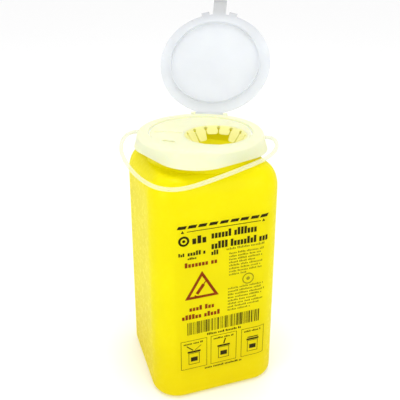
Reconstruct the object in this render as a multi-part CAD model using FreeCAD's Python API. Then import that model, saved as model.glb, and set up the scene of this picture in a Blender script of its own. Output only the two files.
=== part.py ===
import FreeCAD, Part
import math
import os

V = FreeCAD.Vector
ZUP = V(0, 0, 1)
XAX = V(1, 0, 0)

# Square container body, front face towards -Y, origin at the middle of the base. Its
# walls draw in a little from the base to the shoulder.
BODY_BASE_W = 114.0
BODY_W = 111.5
BODY_H = 208.0
BODY_CORNER_R = 24.0
BODY_WALL = 1.3
BASE_EDGE_R = 6.0
SHOULDER_IN = 13.0
SHOULDER_H = 21.0
NECK_R = 46.0
NECK_WALL = 1.5
NECK_TOP = 220.8
NECK_BEAD_R = 47.0
NECK_BEAD_Z = 216.3
NECK_BEAD_H = 2.0

# Lid: round on top, its skirt a rounded square standing on a corner. It snaps on the
# round neck and sits turned on the body by LID_TURN.
LID_TURN = -27.0
LID_TOP = 229.0
LID_R = 53.3
LID_EDGE_R = 3.2
LID_SKIRT_HALF = 50.0
LID_SKIRT_CORNER = 34.0
LID_SKIRT_Z = 214.8
LID_SKIN = 1.5
SNAP_WALL_R = 47.3
SNAP_WALL_T = 1.1
SNAP_LIP_R = 46.3
SNAP_LIP_H = 1.1
DECK_TOP = 227.5
DECK_T = 1.3
MOAT_IN = 42.3
MOAT_OUT = 44.1
MOAT_FLOOR = 224.9
MOAT_WALL = 1.1
SLOT_X = -21.9
SLOT_Y = -27.3
SLOT_LEN = 8.6
SLOT_W = 2.8
SLOT_TURN = -10.0

# Flexible guard: a ring pressed in the deck, with sloping petals round its opening.
FUN_X = 13.6
FUN_Y = -5.0
FUN_RING_IN = 25.65
FUN_RING_OUT = 26.65
FUN_RING_H = 2.6
FUN_DECK_R = 26.4
PETALS = 13
PETAL_FIRST = 91.0 - 360.0 / 26.0
PETAL_SLOPE = 57.0
PETAL_ROOT = 24.8
PETAL_LONG = 12.4
PETAL_SHORT = 7.2
SHORT_PETALS = (0, 1)
PETAL_TAPER = 0.7
PETAL_T = 0.9
SLIT = 0.6
SLIT_EYE_R = 1.5
SLIT_EYE_AT = 23.3

# Snap cap with plug ring, drawn shut and then swung open about the rear hinge.
HINGE_Y = 56.6
HINGE_Z = 226.4
CAP_OPEN = 129.0
CAP_R = 53.4
CAP_T = 1.5
CAP_GAP = 0.35
PLUG_OUT = 43.75
PLUG_T = 1.15
PLUG_H = 4.1
TAB_W = 13.0
TAB_LEN = 15.5
EAR_W = 8.0
EAR_LEN = 3.4
EAR_X = 13.5
PIN_R = 1.5
PIN_FIT = 0.07
LUG_X = 13.0
LUG_W = 4.0
LUG_R = 2.6
ARM_R = 2.4

# Bail handle, one round rod whose two ends turn in the lid's skirt.
ROD_R = 1.6
PIVOT_Y = 18.0
PIVOT_Z = 219.5
PIVOT_FIT = 0.08
HEAD_R = 2.2
HEAD_T = 1.0
HEAD_X = 46.2
ROD_END_X = 54.2
ROD_PATH = [
    (-58.6, 16.4, 219.8), (-63.6, 8.6, 220.6), (-65.0, -6.0, 220.6),
    (-62.0, -25.0, 217.8), (-53.5, -42.0, 213.2), (-40.0, -58.0, 208.2),
    (-22.0, -69.0, 204.6), (-4.0, -72.4, 206.2), (13.0, -70.8, 211.4),
    (30.0, -64.0, 216.6), (46.4, -50.0, 219.6), (57.2, -33.5, 219.9),
    (63.4, -13.0, 219.9), (63.9, 1.0, 219.7), (62.0, 11.0, 219.6),
    (58.3, 16.8, 219.5),
]

# Printed film on the front face.
LABEL_X0 = -39.5
LABEL_X1 = 42.0
LABEL_Z0 = 26.5
LABEL_Z1 = 173.0
LABEL_T = 0.2
LABEL_R = 3.0


def rounded_square(half, corner, z, turn=0.0):
    """Closed wire of four straight sides and four round corners at height z."""
    c = half - corner
    k = corner * math.sqrt(0.5)
    edges = []
    for n in range(4):
        start = V(half, -c, 0)
        end = V(half, c, 0)
        mid = V(c + k, c + k, 0)
        stop = V(c, half, 0)
        side = [Part.makeLine(start, end), Part.Arc(end, mid, stop).toShape()]
        for e in side:
            e.rotate(V(0, 0, 0), ZUP, 90.0 * n + turn)
            e.translate(V(0, 0, z))
            edges.append(e)
    return Part.Wire(edges)


def eight_arc_circle(r, z, half, corner, turn):
    """Circle cut in eight arcs that pair up with the edges of rounded_square."""
    a = math.degrees(math.atan2(half - corner, half))
    edges = []
    for n in range(4):
        for a0, a1 in ((-a, a), (a, 90.0 - a)):
            pts = []
            for t in (a0, 0.5 * (a0 + a1), a1):
                g = math.radians(t + 90.0 * n + turn)
                pts.append(V(r * math.cos(g), r * math.sin(g), z))
            edges.append(Part.Arc(*pts).toShape())
    return Part.Wire(edges)


def disc(r, z0, z1, x=0.0, y=0.0):
    return Part.makeCylinder(r, z1 - z0, V(x, y, z0))


def ring(r_in, r_out, z0, z1, x=0.0, y=0.0):
    return disc(r_out, z0, z1, x, y).cut(disc(r_in, z0 - 1, z1 + 1, x, y))


def box(x0, x1, y0, y1, z0, z1):
    return Part.makeBox(x1 - x0, y1 - y0, z1 - z0, V(x0, y0, z0))


def rod_x(r, x0, x1, y, z):
    return Part.makeCylinder(r, x1 - x0, V(x0, y, z), XAX)


def turned(shape):
    """Turn a piece drawn square to the lid into its place on the body."""
    shape = shape.copy()
    shape.rotate(V(0, 0, 0), ZUP, LID_TURN)
    return shape


def wall_form(grow, z0, z1):
    """Solid inside the body's side walls from z0 to z1, grown by grow all round."""
    wires = []
    for z in (z0, z1):
        half = 0.5 * (BODY_BASE_W + (BODY_W - BODY_BASE_W) * z / (BODY_H - SHOULDER_H))
        wires.append(rounded_square(half + grow, BODY_CORNER_R + grow, z))
    return Part.makeLoft(wires, True, True)


def bottle_form(inset):
    """Solid of the square bottle, drawn in by inset all round."""
    half = BODY_W / 2 - inset
    corner = BODY_CORNER_R - inset
    wall_top = BODY_H - SHOULDER_H
    tower = wall_form(-inset, inset, wall_top)
    low = [e for e in tower.Edges if abs(e.CenterOfMass.z - inset) < 0.01]
    tower = tower.makeFillet(BASE_EDGE_R - 0.5 * inset, low)
    # The shoulder is a quarter ellipse: a round fillet, stretched upwards.
    stretch = (SHOULDER_H - inset) / SHOULDER_IN
    dome = Part.Face(rounded_square(half, corner, 0)).extrude(V(0, 0, SHOULDER_IN + 0.01))
    high = [e for e in dome.Edges if e.BoundBox.ZMin > SHOULDER_IN]
    dome = dome.makeFillet(SHOULDER_IN, high)
    grow = FreeCAD.Matrix()
    grow.A33 = stretch
    dome = dome.transformGeometry(grow)
    dome.translate(V(0, 0, wall_top))
    return tower.fuse(dome)


def container_body():
    shell = bottle_form(0.0)
    z_cap = BODY_H - 2.0
    shell = shell.fuse(disc(NECK_R, z_cap, NECK_TOP))
    bead = disc(NECK_BEAD_R, NECK_BEAD_Z, NECK_BEAD_Z + NECK_BEAD_H)
    shell = shell.fuse(bead)
    hollow = bottle_form(BODY_WALL)
    hollow = hollow.fuse(disc(NECK_R - NECK_WALL, BODY_H - 6.0, NECK_TOP + 1))
    return shell.cut(hollow).removeSplitter()


def skirt_form(inset, z0, z1):
    low = rounded_square(LID_SKIRT_HALF - inset, LID_SKIRT_CORNER - inset, z0, 45.0)
    high = eight_arc_circle(LID_R - inset, z1, LID_SKIRT_HALF, LID_SKIRT_CORNER, 45.0)
    return Part.makeLoft([low, high], True, True)


def lid():
    z_band = LID_TOP - LID_EDGE_R
    crown = disc(LID_R, z_band - 0.5, LID_TOP)
    crown = crown.makeFillet(LID_EDGE_R - 0.05, [crown.Edges[0]])
    body = skirt_form(0.0, LID_SKIRT_Z, z_band).fuse(crown)
    hollow = skirt_form(LID_SKIN, LID_SKIRT_Z - 0.001, z_band - 0.4)
    hollow = hollow.fuse(disc(LID_R - LID_SKIN - 1.0, z_band - 0.5, DECK_TOP - DECK_T))
    body = body.cut(hollow)
    body = body.cut(disc(LID_R + 9, LID_SKIRT_Z - 3, LID_SKIRT_Z))
    snap = ring(SNAP_WALL_R, SNAP_WALL_R + SNAP_WALL_T, LID_SKIRT_Z, DECK_TOP - DECK_T + 0.2)
    lip = ring(SNAP_LIP_R, SNAP_WALL_R + 0.5, LID_SKIRT_Z, LID_SKIRT_Z + SNAP_LIP_H)
    body = body.fuse(snap).fuse(lip)
    moat = ring(MOAT_IN - MOAT_WALL, MOAT_OUT + MOAT_WALL, MOAT_FLOOR - MOAT_WALL, DECK_TOP)
    body = body.fuse(moat)
    body = body.cut(disc(MOAT_IN, DECK_TOP, LID_TOP + 1))
    body = body.cut(ring(MOAT_IN, MOAT_OUT, MOAT_FLOOR, LID_TOP + 1))
    body = body.cut(disc(FUN_DECK_R, 220, LID_TOP, FUN_X, FUN_Y))
    for x0, x1 in ((-LUG_X - LUG_W, -LUG_X), (LUG_X, LUG_X + LUG_W)):
        lug = rod_x(LUG_R, x0, x1, HINGE_Y, HINGE_Z)
        foot = box(x0, x1, HINGE_Y - 8.0, HINGE_Y, HINGE_Z - LUG_R, HINGE_Z)
        body = body.fuse(lug).fuse(foot.cut(disc(LID_R - 2, 200, 240)))
    body = body.cut(rod_x(PIN_R + PIN_FIT, -LUG_X - LUG_W + 1.0, LUG_X + LUG_W - 1.0, HINGE_Y, HINGE_Z))
    for s in (-1, 1):
        hole = rod_x(ROD_R + PIVOT_FIT, -5, 5, PIVOT_Y, PIVOT_Z)
        hole.translate(V(s * 52.5, 0, 0))
        body = body.cut(hole)
    slot = box(-SLOT_LEN / 2, SLOT_LEN / 2, -SLOT_W / 2, SLOT_W / 2, DECK_TOP - 3, LID_TOP)
    for s in (-1, 1):
        slot = slot.fuse(disc(SLOT_W / 2, DECK_TOP - 3, LID_TOP, s * SLOT_LEN / 2, 0))
    slot.rotate(V(0, 0, 0), ZUP, SLOT_TURN)
    slot.translate(V(SLOT_X, SLOT_Y, 0))
    body = body.cut(slot)
    rib = box(-39.0, -14.5, -4.6, -3.2, DECK_TOP - 0.2, DECK_TOP + 0.8)
    body = body.fuse(rib)
    return turned(body.removeSplitter())


def petal_ring():
    z1 = DECK_TOP - 0.1
    z0 = z1 - FUN_RING_H
    band = ring(FUN_RING_IN, FUN_DECK_R - 0.02, z0, z1, FUN_X, FUN_Y)
    flange = ring(FUN_RING_IN, FUN_RING_OUT, z0, DECK_TOP - DECK_T - 0.02, FUN_X, FUN_Y)
    return turned(band.fuse(flange).removeSplitter())


def petal(index):
    """One sloping petal, drawn level along +X, then tipped down and turned round."""
    half_step = math.radians(180.0 / PETALS)
    hinge = 0.5 * PETAL_T
    pivot = PETAL_ROOT - hinge
    reach = PETAL_SHORT if index in SHORT_PETALS else PETAL_LONG
    tip = pivot - reach
    pts = []
    for x, side in ((tip, -1), (PETAL_ROOT + 1, -1), (PETAL_ROOT + 1, 1), (tip, 1)):
        along = pivot - PETAL_TAPER * (pivot - x)
        half = along * math.tan(half_step) - 0.5 * SLIT / math.cos(half_step)
        pts.append(V(x, side * half, 0))
    blade = Part.Face(Part.makePolygon(pts + [pts[0]])).extrude(V(0, 0, -PETAL_T))
    blade = blade.common(disc(PETAL_ROOT, -PETAL_T - 1, 1))
    for a in (-half_step, half_step):
        eye = disc(SLIT_EYE_R, -PETAL_T - 1, 1, SLIT_EYE_AT * math.cos(a), SLIT_EYE_AT * math.sin(a))
        blade = blade.cut(eye)
    corners = [e for e in blade.Edges if abs(e.CenterOfMass.x - tip) < 0.01 and e.Length < PETAL_T + 0.1]
    blade = blade.makeFillet(2.0, corners)
    blade.rotate(V(pivot, 0, -hinge), V(0, 1, 0), -PETAL_SLOPE)
    blade.rotate(V(0, 0, 0), ZUP, PETAL_FIRST + 360.0 / PETALS * index)
    blade.translate(V(FUN_X, FUN_Y, DECK_TOP - 0.3))
    return turned(blade)


def snap_cap():
    z0 = LID_TOP + CAP_GAP
    plate = disc(CAP_R, z0, z0 + CAP_T)
    plate = plate.fuse(box(-TAB_W / 2, TAB_W / 2, -CAP_R - TAB_LEN, -CAP_R + 6, z0, z0 + CAP_T))
    for s in (-1, 1):
        ear = box(-EAR_W / 2, EAR_W / 2, -CAP_R - EAR_LEN, -CAP_R + 6, z0, z0 + CAP_T)
        ear.rotate(V(0, 0, 0), ZUP, math.degrees(s * EAR_X / CAP_R))
        plate = plate.fuse(ear)
    plate = plate.removeSplitter()
    plug = ring(PLUG_OUT - PLUG_T, PLUG_OUT, z0 - PLUG_H, z0 + 0.5)
    cap = plate.fuse(plug)
    grip = box(-TAB_W / 2, TAB_W / 2, -CAP_R - TAB_LEN, -CAP_R - TAB_LEN + 1.4, z0 - 2.2, z0 + 0.5)
    cap = cap.fuse(grip)
    arm_w = LUG_X - 0.4
    arm = rod_x(ARM_R, -arm_w, arm_w, HINGE_Y, HINGE_Z)
    strap = box(-arm_w, arm_w, CAP_R - 6, HINGE_Y + ARM_R, z0, z0 + CAP_T)
    web = box(-arm_w, arm_w, HINGE_Y - 1.2, HINGE_Y + ARM_R, HINGE_Z, z0 + 0.2)
    pin = rod_x(PIN_R, -LUG_X - LUG_W + 1.3, LUG_X + LUG_W - 1.3, HINGE_Y, HINGE_Z)
    cap = cap.fuse(arm).fuse(strap).fuse(web).fuse(pin).removeSplitter()
    cap.rotate(V(0, HINGE_Y, HINGE_Z), XAX, -CAP_OPEN)
    return turned(cap)


def bail_handle():
    pts = [V(*p) for p in ROD_PATH]
    left = [V(-HEAD_X, PIVOT_Y, PIVOT_Z), V(-ROD_END_X, PIVOT_Y, PIVOT_Z)]
    right = [V(ROD_END_X, PIVOT_Y, PIVOT_Z), V(HEAD_X, PIVOT_Y, PIVOT_Z)]
    inward = V(-1, 0, 0)
    pts = [left[1]] + pts + [right[0]]
    along = [0.0]
    for p, q in zip(pts, pts[1:]):
        along.append(along[-1] + p.distanceToPoint(q))
    bow = Part.BSplineCurve()
    bow.interpolate(
        Points=pts, Parameters=along, Scale=False, InitialTangent=inward, FinalTangent=inward
    )
    spine = Part.Wire([Part.makeLine(*left), bow.toShape(), Part.makeLine(*right)])
    start = Part.Wire([Part.makeCircle(ROD_R, left[0], XAX)])
    rod = spine.makePipeShell([start], True, True)
    rod = rod.fuse(rod_x(HEAD_R, -HEAD_X - HEAD_T, -HEAD_X, PIVOT_Y, PIVOT_Z))
    rod = rod.fuse(rod_x(HEAD_R, HEAD_X, HEAD_X + HEAD_T, PIVOT_Y, PIVOT_Z))
    return turned(rod.removeSplitter())


def front_label():
    """Film that lies on the front face and laps a little way round its corners."""
    outer = wall_form(LABEL_T, LABEL_Z0, LABEL_Z1)
    inner = wall_form(0.0, LABEL_Z0, LABEL_Z1)
    window = box(LABEL_X0, LABEL_X1, -BODY_BASE_W, 6 - BODY_W / 2, LABEL_Z0, LABEL_Z1)
    deep = [e for e in window.Edges if e.BoundBox.YLength > 7]
    return outer.cut(inner).common(window.makeFillet(LABEL_R, deep))


def export(name, shape):
    shape.exportStep("parts/" + name + ".step")


def main():
    os.makedirs("parts", exist_ok=True)
    export("container_body", container_body())
    export("lid", lid())
    export("petal_ring", petal_ring())
    for n in range(PETALS):
        export("guard_petal_%02d" % (n + 1), petal(n))
    export("snap_cap", snap_cap())
    export("bail_handle", bail_handle())
    export("front_label", front_label())


main()
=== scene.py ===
import bmesh
import bpy
import math
import random
from mathutils import Matrix, Vector


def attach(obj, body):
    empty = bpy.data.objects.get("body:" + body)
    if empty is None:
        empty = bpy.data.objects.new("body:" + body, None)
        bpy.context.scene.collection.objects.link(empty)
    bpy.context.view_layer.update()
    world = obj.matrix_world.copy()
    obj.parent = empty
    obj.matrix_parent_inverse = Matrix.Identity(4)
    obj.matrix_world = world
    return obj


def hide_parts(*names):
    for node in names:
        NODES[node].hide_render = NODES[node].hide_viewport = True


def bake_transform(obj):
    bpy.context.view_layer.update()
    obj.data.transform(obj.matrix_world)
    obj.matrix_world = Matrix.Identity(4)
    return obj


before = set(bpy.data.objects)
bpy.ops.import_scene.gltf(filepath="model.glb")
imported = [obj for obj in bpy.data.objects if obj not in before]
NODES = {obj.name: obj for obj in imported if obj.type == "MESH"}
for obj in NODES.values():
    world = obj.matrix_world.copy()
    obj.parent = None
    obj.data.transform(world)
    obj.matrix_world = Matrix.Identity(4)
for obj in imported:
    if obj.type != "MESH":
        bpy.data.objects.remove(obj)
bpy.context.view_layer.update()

MM = 0.001
TAU = 2.0 * math.pi
LID_TURN = math.radians(-27.0)

# ---------------------------------------------------------------- materials


def new_material(name):
    mat = bpy.data.materials.new(name)
    mat.use_nodes = True
    nt = mat.node_tree
    nt.nodes.clear()
    return mat, nt


def add(nt, kind, **settings):
    node = nt.nodes.new(kind)
    for key, value in settings.items():
        setattr(node, key, value)
    return node


def mix_colour(nt, factor, a, b):
    mix = add(nt, "ShaderNodeMix", data_type="RGBA")
    nt.links.new(factor, mix.inputs[0])
    for socket, value in ((mix.inputs[6], a), (mix.inputs[7], b)):
        if isinstance(value, tuple):
            socket.default_value = value + (1.0,)
        else:
            nt.links.new(value, socket)
    return mix.outputs[2]


def ramp(nt, value, lo, hi, a=0.0, b=1.0):
    node = add(nt, "ShaderNodeMapRange")
    node.clamp = True
    nt.links.new(value, node.inputs[0])
    node.inputs[1].default_value = lo
    node.inputs[2].default_value = hi
    node.inputs[3].default_value = a
    node.inputs[4].default_value = b
    return node.outputs[0]


def noise(nt, coords, scale, detail=3.0, rough=0.5):
    node = add(nt, "ShaderNodeTexNoise")
    nt.links.new(coords, node.inputs["Vector"])
    node.inputs["Scale"].default_value = scale
    node.inputs["Detail"].default_value = detail
    node.inputs["Roughness"].default_value = rough
    return node.outputs["Fac"]


def height_ramp(nt, coords, lo, hi, a=0.0, b=1.0):
    split = add(nt, "ShaderNodeSeparateXYZ")
    nt.links.new(coords, split.inputs[0])
    return ramp(nt, split.outputs[2], lo, hi, a, b)


def distance_ramp(nt, coords, centre, lo, hi, a=0.0, b=1.0, scale=(1.0, 1.0, 1.0)):
    """Ramp on the distance from a point; scale (1, 1, 0) measures it from a vertical axis."""
    offset = add(nt, "ShaderNodeVectorMath", operation="SUBTRACT")
    nt.links.new(coords, offset.inputs[0])
    offset.inputs[1].default_value = centre
    flat = add(nt, "ShaderNodeVectorMath", operation="MULTIPLY")
    nt.links.new(offset.outputs[0], flat.inputs[0])
    flat.inputs[1].default_value = scale
    reach = add(nt, "ShaderNodeVectorMath", operation="LENGTH")
    nt.links.new(flat.outputs[0], reach.inputs[0])
    return ramp(nt, reach.outputs["Value"], lo, hi, a, b)


def product(nt, a, b):
    node = add(nt, "ShaderNodeMath", operation="MULTIPLY")
    nt.links.new(a, node.inputs[0])
    nt.links.new(b, node.inputs[1])
    return node.outputs[0]


# Scales of the noise textures: clouding inside the plastic, scuffs on it, and its moulded grain.
CLOUDING, SCUFFS, GRAIN = 38.0, 260.0, 900.0
GRAIN_STRENGTH = 0.15
SCATTER_RADIUS = (0.004, 0.003, 0.0015)
CLEAR_TINT = (0.97, 0.98, 0.99, 1.0)
# How much darker the scattered light is where the clouding is dense.
DEEP_CORE = 0.96
# How softly the groove's patch of painted light ends, sideways and upwards, and how much it glows.
GROOVE_EDGE, GROOVE_FADE, GROOVE_GLOW = 0.0005, 0.0006, 0.2
# Weights that leave height out, so that a distance is measured from a vertical axis.
FROM_AXIS = (1.0, 1.0, 0.0)


def groove_mask(nt, coords, r_in, r_out, top):
    """1 inside the ring between two radii about the vertical axis and below a height."""
    centre = (0.0, 0.0, 0.0)
    beyond = distance_ramp(nt, coords, centre, r_in - GROOVE_EDGE, r_in, 0.0, 1.0, FROM_AXIS)
    within = distance_ramp(nt, coords, centre, r_out, r_out + GROOVE_EDGE, 1.0, 0.0, FROM_AXIS)
    below = height_ramp(nt, coords, top - GROOVE_FADE, top, 1.0, 0.0)
    return product(nt, product(nt, beyond, within), below)


def plastic(name, pale, deep, core, rough, see_through, grain, spec=0.5, glow=0.15, z_range=None,
            clear=0.0, tab_grey_and_shade=None, painted_groove_light=None, rim=None):
    """Moulded, slightly cloudy plastic: soft mottling, fine skin grain, scattered light."""
    mat, nt = new_material(name)
    deep_core = tuple(DEEP_CORE * c for c in core)
    out = add(nt, "ShaderNodeOutputMaterial")
    coords = add(nt, "ShaderNodeTexCoord").outputs["Object"]
    mottle = noise(nt, coords, CLOUDING, 4.0, 0.55)
    colour = mix_colour(nt, ramp(nt, mottle, 0.3, 0.7), pale, deep)
    # Painted shade: the colour darkens towards the foot, fading out between two heights.
    if z_range:
        low, high, foot_shade = z_range
        colour = mix_colour(nt, height_ramp(nt, coords, low, high), foot_shade, colour)
    # Painted shade: a greyer band on the rim, within given distances from a centre and above given
    # heights.
    if rim:
        centre, r_in, r_out, low, high, rim_shade_grey = rim
        edge = distance_ramp(nt, coords, centre, r_in, r_out)
        colour = mix_colour(nt, product(nt, edge, height_ramp(nt, coords, low, high)), colour, rim_shade_grey)
    # Painted shade, in part: grey above given heights, for the thick tab and the shade on it.
    if tab_grey_and_shade:
        low, high, tab_grey = tab_grey_and_shade
        colour = mix_colour(nt, height_ramp(nt, coords, low, high), colour, tab_grey)
    inside = None
    if painted_groove_light:
        # Painted light: a paler, faintly glowing patch lifts the shade in the groove, standing for light
        # that comes through its thin walls.
        r_in, r_out, top, painted_light_colour = painted_groove_light
        inside = groove_mask(nt, coords, r_in, r_out, top)
        colour = mix_colour(nt, inside, colour, painted_light_colour)
    skin = add(nt, "ShaderNodeBsdfPrincipled")
    nt.links.new(colour, skin.inputs["Base Color"])
    scuff = noise(nt, coords, SCUFFS, 5.0, 0.6)
    nt.links.new(ramp(nt, scuff, 0.25, 0.8, rough - 0.03, rough + 0.05), skin.inputs["Roughness"])
    skin.inputs["Subsurface Weight"].default_value = glow
    skin.inputs["Subsurface Radius"].default_value = SCATTER_RADIUS
    skin.inputs["Subsurface Scale"].default_value = 1.0
    skin.inputs["Specular IOR Level"].default_value = spec
    # The groove's painted light also glows, though the lid is no lamp.
    if inside:
        skin.inputs["Emission Color"].default_value = painted_light_colour + (1.0,)
        strength = add(nt, "ShaderNodeMath", operation="MULTIPLY")
        nt.links.new(inside, strength.inputs[0])
        strength.inputs[1].default_value = GROOVE_GLOW
        nt.links.new(strength.outputs[0], skin.inputs["Emission Strength"])
    bump = add(nt, "ShaderNodeBump")
    bump.inputs["Strength"].default_value = GRAIN_STRENGTH
    bump.inputs["Distance"].default_value = grain
    nt.links.new(noise(nt, coords, GRAIN, 2.0, 0.5), bump.inputs["Height"])
    nt.links.new(bump.outputs[0], skin.inputs["Normal"])
    through = add(nt, "ShaderNodeBsdfTranslucent")
    nt.links.new(mix_colour(nt, ramp(nt, mottle, 0.2, 0.8), core, deep_core), through.inputs["Color"])
    blend = add(nt, "ShaderNodeMixShader")
    blend.inputs[0].default_value = see_through
    nt.links.new(skin.outputs[0], blend.inputs[1])
    nt.links.new(through.outputs[0], blend.inputs[2])
    last = blend.outputs[0]
    if clear > 0.0:
        glassy = add(nt, "ShaderNodeBsdfTransparent")
        glassy.inputs["Color"].default_value = CLEAR_TINT
        veil = add(nt, "ShaderNodeMixShader")
        veil.inputs[0].default_value = clear
        nt.links.new(last, veil.inputs[1])
        nt.links.new(glassy.outputs[0], veil.inputs[2])
        last = veil.outputs[0]
    nt.links.new(last, out.inputs[0])
    return mat


def ink(name, colour, worn):
    """Flat printing ink, worn a little paler in fine spots."""
    mat, nt = new_material(name)
    out = add(nt, "ShaderNodeOutputMaterial")
    coords = add(nt, "ShaderNodeTexCoord").outputs["Object"]
    skin = add(nt, "ShaderNodeBsdfPrincipled")
    nt.links.new(
        mix_colour(nt, ramp(nt, noise(nt, coords, 420.0, 4.0, 0.6), 0.35, 0.75), colour, worn),
        skin.inputs["Base Color"],
    )
    skin.inputs["Roughness"].default_value = 0.5
    skin.inputs["Specular IOR Level"].default_value = 0.05
    nt.links.new(skin.outputs[0], out.inputs[0])
    return mat


PALE_YELLOW, DEEP_YELLOW, YELLOW_CORE = (0.94, 0.85, 0.002), (0.92, 0.82, 0.001), (1.0, 0.99, 0.16)
# Painted shade: the body is a deeper yellow towards its foot, where less light reaches it; the heights
# between which that fades out, and its colour.
FOOT_SHADE = (0.0, 0.09, (0.87, 0.70, 0.001))
# The cap's groove in the lid: its inner and outer radius, the height it stays below, and the pale colour
# of the painted light on its walls.
PAINTED_GROOVE_LIGHT = (0.0421, 0.0443, 0.2274, (1.0, 1.0, 0.93))
# Painted shade on the open cap's rim, greyer towards its top: the cap's centre, the distances from it
# and then the heights between which the painted shade sets in, and its grey.
CAP_RIM_SHADE = ((0.04317, 0.08473, 0.26805), 0.046, 0.0525, 0.283, 0.308, (0.50, 0.51, 0.53))
# Painted shade, in part: the thick tab at the top of the open cap is greyer, for its thickness and for
# the shade on it; the heights between which its grey sets in, and the grey.
CAP_TAB_GREY_AND_SHADE = (0.3085, 0.3125, (0.41, 0.41, 0.41))

# The body and its label film both get the painted shade towards the foot.
YELLOW = plastic("container_yellow", PALE_YELLOW, DEEP_YELLOW, YELLOW_CORE, rough=0.26, see_through=0.6,
                 grain=0.00002, spec=0.14, z_range=FOOT_SHADE)
NATURAL = plastic("lid_natural", (0.90, 0.91, 0.66), (0.88, 0.89, 0.62), (0.98, 0.98, 0.82), rough=0.34,
                  see_through=0.28, grain=0.00003, spec=0.3, glow=0.7, painted_groove_light=PAINTED_GROOVE_LIGHT)
GUARD = plastic("guard_natural", (0.96, 0.95, 0.50), (0.95, 0.93, 0.44), (1.0, 0.98, 0.6), rough=0.4,
                see_through=0.4, grain=0.00003, spec=0.3)
CAP = plastic("cap_clear", (0.73, 0.75, 0.775), (0.68, 0.70, 0.73), (0.86, 0.88, 0.90), rough=0.3,
              see_through=0.5, grain=0.00006, spec=0.4, clear=0.2, tab_grey_and_shade=CAP_TAB_GREY_AND_SHADE, rim=CAP_RIM_SHADE)
ROD = plastic("handle_natural", (0.85, 0.86, 0.66), (0.82, 0.83, 0.60), (0.95, 0.95, 0.8), rough=0.33,
              see_through=0.45, grain=0.00006, spec=0.4, clear=0.5)
FILM = plastic("label_film", PALE_YELLOW, DEEP_YELLOW, YELLOW_CORE, rough=0.22, see_through=0.6,
               grain=0.00001, spec=0.14, z_range=FOOT_SHADE)
BLACK = ink("ink_black", (0.010, 0.008, 0.002), (0.045, 0.036, 0.004))
RED = ink("ink_dark_red", (0.17, 0.018, 0.002), (0.26, 0.045, 0.003))
OLIVE = ink("ink_olive", (0.22, 0.20, 0.006), (0.34, 0.31, 0.01))


def give(obj, mat):
    obj.data.materials.clear()
    obj.data.materials.append(mat)


FINISHES = {
    "container_body": YELLOW,
    "lid": NATURAL,
    "petal_ring": GUARD,
    "snap_cap": CAP,
    "bail_handle": ROD,
    "front_label": FILM,
}
for name, obj in NODES.items():
    give(obj, GUARD if name.startswith("guard_petal") else FINISHES[name])

# ---------------------------------------------------------------- label print

# Body, in mm: half its width at the base and under the shoulder, the wall's top, the corner radius.
BASE_HALF = 57.0
TOP_HALF = 55.75
WALL_TOP = 187.0
CORNER = 24.0
FILM_T = 0.2
INK_LIFT = 0.03
# Upright cuts that let the print bend with the corners: the first one's place, their spacing and number.
FIRST_CUT, CUT_STEP, CUTS = 31.5, 1.5, 7


def on_label(x, z, lift=INK_LIFT):
    """Point on the label film: flat in the middle, following the corner arcs at its edges."""
    flat = BASE_HALF + (TOP_HALF - BASE_HALF) * z / WALL_TOP - CORNER
    bend = CORNER + FILM_T
    over = max(0.0, abs(x) - flat)
    return Vector((x, -flat - math.sqrt(bend * bend - over * over) - lift, z)) * MM


# Rows of blocks stand for print: a block's width as a share of the pitch, the share of tall blocks, the
# height of the others, and the gap between words in pitches.
BLOCK_WIDTH, TALL_SHARE, LOW_HEIGHT, WORD_GAP = 0.74, 0.3, 0.7, 0.7
ROW_END = 0.6


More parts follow.
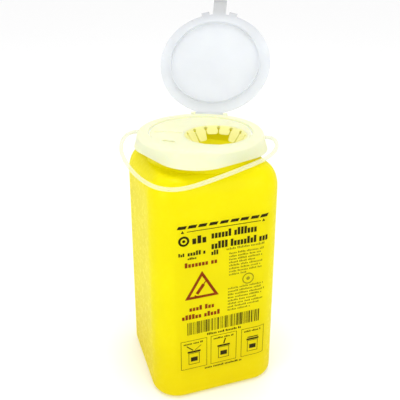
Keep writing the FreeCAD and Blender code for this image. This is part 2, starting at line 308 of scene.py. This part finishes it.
class Ink:
    """Collects flat shapes in one colour and lays them on the label as one piece."""

    def __init__(self, name, mat):
        self.name = name
        self.mat = mat
        self.bm = bmesh.new()

    def poly(self, pts):
        verts = [self.bm.verts.new((x, 0.0, z)) for x, z in pts]
        self.bm.faces.new(verts)

    def bar(self, x0, x1, z0, z1, slant=0.0):
        self.poly([(x0, z0), (x1, z0), (x1 + slant, z1), (x0 + slant, z1)])

    def disc(self, x, z, r, sides=40):
        angles = [TAU * k / sides for k in range(sides)]
        self.poly([(x + r * math.cos(a), z + r * math.sin(a)) for a in angles])

    def ring(self, x, z, r0, r1, sides=48):
        for k in range(sides):
            a, b = TAU * k / sides, TAU * (k + 1) / sides
            corners = ((r0, a), (r1, a), (r1, b), (r0, b))
            self.poly([(x + r * math.cos(t), z + r * math.sin(t)) for r, t in corners])

    def frame(self, x0, x1, z0, z1, w):
        self.bar(x0, x1, z0, z0 + w)
        self.bar(x0, x1, z1 - w, z1)
        self.bar(x0, x0 + w, z0 + w, z1 - w)
        self.bar(x1 - w, x1, z0 + w, z1 - w)

    def line(self, x0, z0, x1, z1, w):
        d = Vector((x1 - x0, z1 - z0)).normalized() * (0.5 * w)
        self.poly([
            (x0 + d.y, z0 - d.x), (x1 + d.y, z1 - d.x),
            (x1 - d.y, z1 + d.x), (x0 - d.y, z0 + d.x),
        ])

    def blocks(self, x0, x1, z0, z1, seed, pitch):
        """A row of plain blocks grouped as words, some taller: print too small to read."""
        pick = random.Random(seed)
        low = z0 + LOW_HEIGHT * (z1 - z0)
        x = x0
        left = pick.randint(4, 7)
        while x < x1 - ROW_END * pitch:
            self.bar(x, x + BLOCK_WIDTH * pitch, z0, z1 if pick.random() < TALL_SHARE else low)
            x += pitch
            left -= 1
            if left == 0:
                x += WORD_GAP * pitch
                left = pick.randint(4, 9)

    def finish(self):
        bm = self.bm
        cuts = [side * (FIRST_CUT + CUT_STEP * k) for side in (-1, 1) for k in range(CUTS)]
        for x in cuts:
            everything = bm.verts[:] + bm.edges[:] + bm.faces[:]
            place, facing = (x, 0, 0), (1, 0, 0)
            bmesh.ops.bisect_plane(bm, geom=everything, dist=1e-5, plane_co=place, plane_no=facing)
        for v in bm.verts:
            v.co = on_label(v.co.x, v.co.z)
        for f in bm.faces:
            if f.normal.y > 0:
                f.normal_flip()
        mesh = bpy.data.meshes.new(self.name)
        bm.to_mesh(mesh)
        bm.free()
        obj = bpy.data.objects.new(self.name, mesh)
        bpy.context.scene.collection.objects.link(obj)
        mesh.materials.append(self.mat)
        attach(obj, "container")


# The print's layout, in mm from the middle of the face and from the base.
FILL_DASHES = (-34.0, -25.5, -17.0, -8.0, 1.0, 10.0, 18.5, 27.5, 36.0)
# Rows of blocks: left, right, bottom, top, seed, pitch.
HEADING_BLOCKS = (
    (-25.5, -13.0, 154.4, 161.4, 3, 4.2),
    (-9.5, 29.5, 156.6, 163.2, 5, 2.9),
    (-9.5, 40.0, 147.0, 153.6, 8, 2.9),
    (-37.0, -31.5, 144.4, 147.4, 2, 1.7),
    (-29.5, -14.5, 144.2, 148.2, 4, 2.3),
    (-29.5, -22.0, 140.8, 142.8, 9, 1.5),
    (-9.5, -2.5, 141.6, 146.0, 6, 2.1),
)
CAUTION_BLOCKS = (
    (-32.0, -3.0, 133.6, 138.2, 12, 2.9),
    (-28.5, -6.0, 91.2, 95.8, 14, 2.9),
    (-35.0, 0.5, 83.4, 88.2, 16, 2.9),
)
# Small print: left, height of the first line, line pitch, first seed, right end of each line.
SMALL_PRINT = (
    (6.0, 140.4, 2.9, 20, (37.0, 35.0, 36.5, 30.0, 37.0, 34.0, 36.0, 22.0)),
    (5.5, 106.6, 3.05, 40, (38.5, 36.0, 39.0, 37.0, 33.0, 38.5, 36.0, 26.0)),
)
SMALL_PRINT_LINES = 8
SMALL_PRINT_HALF, SMALL_PRINT_PITCH = 0.9, 1.35
BAR_WIDTHS, BAR_GAPS = (0.35, 0.35, 0.7, 1.05), (0.4, 0.4, 0.75, 1.1)
PICTURE_BOXES = ((-36.5, -13.0), (-9.5, 14.5), (19.0, 41.0))


def print_heading(black, olive):
    """Dashes, fine rule with end ticks, plain round mark and heading blocks."""
    for x in FILL_DASHES:
        black.bar(x - 3.9, x + 2.9, 168.7, 171.3, slant=1.4)
    black.bar(-30.0, 33.0, 165.6, 166.2)
    for x in (-33.5, 35.5):
        black.poly([(x - 1.4, 165.0), (x + 1.4, 165.0), (x, 167.4)])
    black.ring(-32.5, 158.0, 2.7, 4.5)
    black.disc(-32.5, 158.0, 1.3)
    for row in HEADING_BLOCKS:
        black.blocks(*row)
    olive.blocks(3.5, 38.0, 143.8, 145.8, 7, 1.4)


def print_caution(red):
    for row in CAUTION_BLOCKS:
        red.blocks(*row)
    needle_sign(red, -17.5, 113.5, 17.0)


def print_small(olive):
    for line in range(SMALL_PRINT_LINES):
        for left, top, step, seed, ends in SMALL_PRINT:
            z = top - step * line
            low, high = z - SMALL_PRINT_HALF, z + SMALL_PRINT_HALF
            olive.blocks(left, ends[line], low, high, seed + line, SMALL_PRINT_PITCH)
    olive.ring(23.5, 113.3, 4.3, 5.3)
    olive.disc(23.5, 113.3, 1.7)


def print_bar_code(black):
    """Random upright bars, with a row of blocks below."""
    pick = random.Random(77)
    x = -30.5
    while x < 35.0:
        w = pick.choice(BAR_WIDTHS)
        black.bar(x, x + w, 67.5, 80.0)
        x += w + pick.choice(BAR_GAPS)
    black.blocks(-13.0, 19.5, 63.6, 65.8, 60, 1.5)


def print_pictures(black):
    """Three boxes with small pictures of the container in use."""
    for n, (x0, x1) in enumerate(PICTURE_BOXES):
        black.frame(x0, x1, 31.5, 61.5, 0.4)
        small_container(black, 0.5 * (x0 + x1), 36.0, n)
        black.blocks(x0 + 2.5, x1 - 3.0, 57.4, 59.2, 80 + n, 1.3)
    black.blocks(-15.0, 20.0, 27.8, 29.8, 90, 1.4)


def needle_sign(layer, x, z, r):
    """Triangle frame with a plain slanting needle in it."""
    centre = Vector((x, z - 2.0))
    inset = 0.72
    angles = (TAU / 4, TAU * 7 / 12, TAU * 11 / 12)
    corners = [centre + r * Vector((math.cos(a), math.sin(a))) for a in angles]
    for k in range(3):
        a, b = corners[k], corners[(k + 1) % 3]
        a2, b2 = centre + (a - centre) * inset, centre + (b - centre) * inset
        layer.poly([tuple(a), tuple(b), tuple(b2), tuple(a2)])
    layer.line(x - 4.4, z - 6.2, x + 1.4, z + 2.2, 2.8)
    layer.line(x + 1.2, z + 1.9, x + 3.2, z + 4.8, 0.9)
    layer.line(x - 6.4, z - 7.3, x - 3.2, z - 9.5, 1.1)


def small_container(layer, x, z, step):
    """Little outline of the container; the lid or the cap is drawn differently in each box."""
    layer.frame(x - 5.0, x + 5.0, z, z + 12.0, 0.45)
    layer.bar(x - 3.0, x + 3.2, z + 3.0, z + 7.5)
    layer.bar(x - 5.8, x + 5.8, z + 12.4, z + 14.2)
    if step == 0:
        layer.line(x - 1.0, z + 15.0, x - 6.5, z + 20.0, 0.9)
        layer.line(x + 1.0, z + 15.0, x + 6.5, z + 19.0, 0.5)
    elif step == 1:
        layer.line(x, z + 15.0, x + 1.5, z + 20.5, 1.2)
    else:
        layer.bar(x - 5.0, x + 5.0, z + 15.0, z + 16.0)


def print_label():
    black = Ink("print_black", BLACK)
    red = Ink("print_dark_red", RED)
    olive = Ink("print_olive", OLIVE)
    print_heading(black, olive)
    print_caution(red)
    print_small(olive)
    print_bar_code(black)
    print_pictures(black)
    for layer in (black, red, olive):
        layer.finish()


print_label()

# ---------------------------------------------------------------- opening's guard

# In mm, in the lid's own frame: the throat's centre, and the petals' place round it.
FUN_X, FUN_Y = 13.6, -5.0
PETALS = 13
HALF_STEP = math.pi / PETALS
FIRST = math.radians(91.0) - HALF_STEP
# Length of the long and the two short petals, radius of their roots, their band's outer radius.
LONG, SHORT, ROOT_R, BAND_R = 12.4, 7.2, 24.35, 25.66
SHORT_ONES = (0, 1)
# How much a petal narrows towards its tip, and its tip's corner radius.
TAPER = 0.7
TIP_R = 2.0
# The slit between two petals, the round eye that ends it, and the eye's distance from the centre.
SLIT, EYE_R, EYE_AT = 0.6, 1.5, 23.3
# How far short of the eye's centre a petal's side meets the eye, in eye radii.
EYE_START = 0.96
# A point on the seam outside the eye, where neighbouring petals meet.
SEAM_R = 25.4
TIP_STEPS, SIDE_STEPS, EYE_STEPS, COLUMNS = 6, 8, 10, 10
# Rows are straight up to the first distance from the throat's centre and turn round over the second.
STRAIGHT_TO, ROUND_OVER = 21.0, 3.4
# The bend at the root: its start outside the root, its radius, and the petal's slope below it.
BEND_START, BEND_R, SLOPE = 0.65, 1.3, math.radians(57.0)
# Height of the petals' roots, and their thickness.
GUARD_Z = 227.38
GUARD_T = 0.9
# Width of the softened edges, in metres.
SOFT_EDGE = 0.00017
SHARP_ANGLE = math.radians(50.0)


def lid_to_row(p):
    """From the lid's own frame, in mm, to the whole object's frame, in metres."""
    c, s = math.cos(LID_TURN), math.sin(LID_TURN)
    return Vector((p[0] * c - p[1] * s, p[0] * s + p[1] * c, p[2])) * MM


def petal_side(reach):
    """One edge of a flat petal, from its tip to the outer band: rounded tip, slit, eye, seam."""
    c, s = math.cos(HALF_STEP), math.sin(HALF_STEP)
    tip = ROOT_R - reach

    def half(x):
        return (ROOT_R - TAPER * (ROOT_R - x)) * math.tan(HALF_STEP) - 0.5 * SLIT / c

    pts = []
    for k in range(TIP_STEPS + 1):
        a = 0.5 * math.pi * k / TIP_STEPS
        pts.append((tip + TIP_R * (1 - math.cos(a)), half(tip + TIP_R) - TIP_R * (1 - math.sin(a))))
    x_eye = EYE_AT * c - EYE_START * EYE_R
    for k in range(1, SIDE_STEPS + 1):
        x = tip + TIP_R + (x_eye - tip - TIP_R) * k / SIDE_STEPS
        pts.append((x, half(x)))
    first = math.atan2(half(x_eye) - EYE_AT * s, x_eye - EYE_AT * c) % TAU
    last = TAU + HALF_STEP
    for k in range(1, EYE_STEPS + 1):
        a = first + (last - first) * k / EYE_STEPS
        pts.append((EYE_AT * c + EYE_R * math.cos(a), EYE_AT * s + EYE_R * math.sin(a)))
    seam_from = len(pts) - 1
    for r in (SEAM_R, BAND_R):
        pts.append((r * c, r * s))
    return pts, seam_from


def sloped(x):
    """Bends the flat petal down at its root: its distance out, its height and its slope there."""
    bend_from = ROOT_R + BEND_START
    along = max(0.0, bend_from - x)
    arc = min(along / BEND_R, SLOPE)
    rest = along - arc * BEND_R
    out = x if along <= 0.0 else bend_from - (BEND_R * math.sin(arc) + rest * math.cos(SLOPE))
    return out, -(BEND_R * (1 - math.cos(arc)) + rest * math.sin(SLOPE)), arc


def petal_grid(bm, side, place):
    """Rows of vertices across the petal, one for each point of its side, on both its faces."""
    grid = {}
    for j, (x, y) in enumerate(side):
        roundness = min(1.0, max(0.0, (x - STRAIGHT_TO) / ROUND_OVER))
        r, a = math.hypot(x, y), math.atan2(y, x)
        for i in range(COLUMNS + 1):
            f = 2.0 * i / COLUMNS - 1.0
            px = x * (1 - roundness) + r * math.cos(f * a) * roundness
            py = f * y * (1 - roundness) + r * math.sin(f * a) * roundness
            out, z, arc = sloped(px)
            for layer in (0, 1):
                back = layer * GUARD_T
                point = place(out + back * math.sin(arc), py, z - back * math.cos(arc))
                grid[layer, j, i] = bm.verts.new(point)
    return grid


def petal_faces(bm, grid, rows, seam_from):
    """Closes the petal's faces and its rim; gives the rim's free edges, which are softened."""
    for j in range(rows - 1):
        for i in range(COLUMNS):
            for layer in (0, 1):
                corners = ((j, i), (j + 1, i), (j + 1, i + 1), (j, i + 1))
                bm.faces.new([grid[layer, p, q] for p, q in corners])
    rim = [(0, i) for i in range(COLUMNS + 1)] + [(j, COLUMNS) for j in range(1, rows)]
    rim += [(rows - 1, i) for i in range(COLUMNS - 1, -1, -1)] + [(j, 0) for j in range(rows - 2, 0, -1)]
    soft = []
    for a, b in zip(rim, rim[1:] + rim[:1]):
        front_a, front_b = grid[(0,) + a], grid[(0,) + b]
        back_a, back_b = grid[(1,) + a], grid[(1,) + b]
        bm.faces.new([front_a, front_b, back_b, back_a])
        if max(a[0], b[0]) <= seam_from:
            soft.append(bm.edges.get((front_a, front_b)))
            soft.append(bm.edges.get((back_a, back_b)))
    return soft


def guard_petal(index):
    side, seam_from = petal_side(SHORT if index in SHORT_ONES else LONG)
    turn = FIRST + TAU / PETALS * index
    c, s = math.cos(turn), math.sin(turn)

    def place(out, across, z):
        return lid_to_row((FUN_X + out * c - across * s, FUN_Y + out * s + across * c, GUARD_Z + z))

    bm = bmesh.new()
    grid = petal_grid(bm, side, place)
    soft = petal_faces(bm, grid, len(side), seam_from)
    bmesh.ops.recalc_face_normals(bm, faces=bm.faces[:])
    bmesh.ops.bevel(
        bm, geom=soft, offset=SOFT_EDGE, segments=2, profile=0.5, affect="EDGES", clamp_overlap=True
    )
    for f in bm.faces:
        f.smooth = True
    name = "petal_%02d" % (index + 1)
    mesh = bpy.data.meshes.new("flexible_" + name)
    bm.to_mesh(mesh)
    bm.free()
    mesh.materials.append(GUARD)
    mesh.set_sharp_from_angle(angle=SHARP_ANGLE)
    obj = bpy.data.objects.new("flexible_" + name, mesh)
    bpy.context.scene.collection.objects.link(obj)
    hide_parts("guard_" + name)
    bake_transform(obj)


for number in range(PETALS):
    guard_petal(number)

# ---------------------------------------------------------------- stage

FLOOR_HALF = 6.0
FLOOR_DROP = 0.0002


def stage_floor():
    mesh = bpy.data.meshes.new("floor")
    h = FLOOR_HALF
    mesh.from_pydata([(-h, -h, 0), (h, -h, 0), (h, h, 0), (-h, h, 0)], [], [(0, 1, 2, 3)])
    floor = bpy.data.objects.new("floor", mesh)
    bpy.context.scene.collection.objects.link(floor)
    floor.location.z = -FLOOR_DROP
    mat, nt = new_material("floor_paper")
    out = add(nt, "ShaderNodeOutputMaterial")
    skin = add(nt, "ShaderNodeBsdfPrincipled")
    skin.inputs["Base Color"].default_value = (0.97, 0.97, 0.97, 1.0)
    skin.inputs["Roughness"].default_value = 0.9
    nt.links.new(skin.outputs[0], out.inputs[0])
    mesh.materials.append(mat)


def area_light(name, place, aim, size, power):
    data = bpy.data.lights.new(name, "AREA")
    data.size = size
    data.energy = power
    lamp = bpy.data.objects.new(name, data)
    bpy.context.scene.collection.objects.link(lamp)
    lamp.location = place
    lamp.rotation_mode = "QUATERNION"
    lamp.rotation_quaternion = (Vector(aim) - Vector(place)).to_track_quat("-Z", "Y")


stage_floor()
area_light("overhead", (0.0, -0.02, 1.3), (0, 0, 0.2), 0.45, 3.6)
area_light("left", (-1.1, -0.5, 0.5), (0, 0, 0.18), 0.6, 3.0)
area_light("front", (0.5, -1.2, 0.7), (0, 0, 0.12), 0.9, 4.0)

world = bpy.data.worlds.new("studio")
world.use_nodes = True
background = world.node_tree.nodes["Background"]
background.inputs["Color"].default_value = (1.0, 1.0, 1.0, 1.0)
background.inputs["Strength"].default_value = 1.0
bpy.context.scene.world = world
bpy.context.scene.view_settings.view_transform = "Standard"

# ---------------------------------------------------------------- camera

PITCH = math.radians(22.723)
YAW = math.radians(18.534)
CAMERA_AT = (-0.1381, -0.4109, 0.3652)
# The image is 400 pixels wide; the focal length and the shift are in pixels too.
IMAGE, FOCAL, SHIFT = 400.0, 539.44, -20.0
SENSOR = 36.0
right = Vector((math.cos(YAW), -math.sin(YAW), 0.0))
ahead = Vector((math.sin(YAW) * math.cos(PITCH), math.cos(YAW) * math.cos(PITCH), -math.sin(PITCH)))
above = right.cross(ahead)
lens = bpy.data.cameras.new("camera")
lens.sensor_width = SENSOR
lens.lens = FOCAL / IMAGE * SENSOR
lens.shift_y = SHIFT / IMAGE
lens.clip_start = 0.01
lens.clip_end = 20.0
camera = bpy.data.objects.new("camera", lens)
bpy.context.scene.collection.objects.link(camera)
turn = Matrix((right, above, -ahead)).transposed().to_4x4()
camera.matrix_world = Matrix.Translation(CAMERA_AT) @ turn
bpy.context.scene.camera = camera
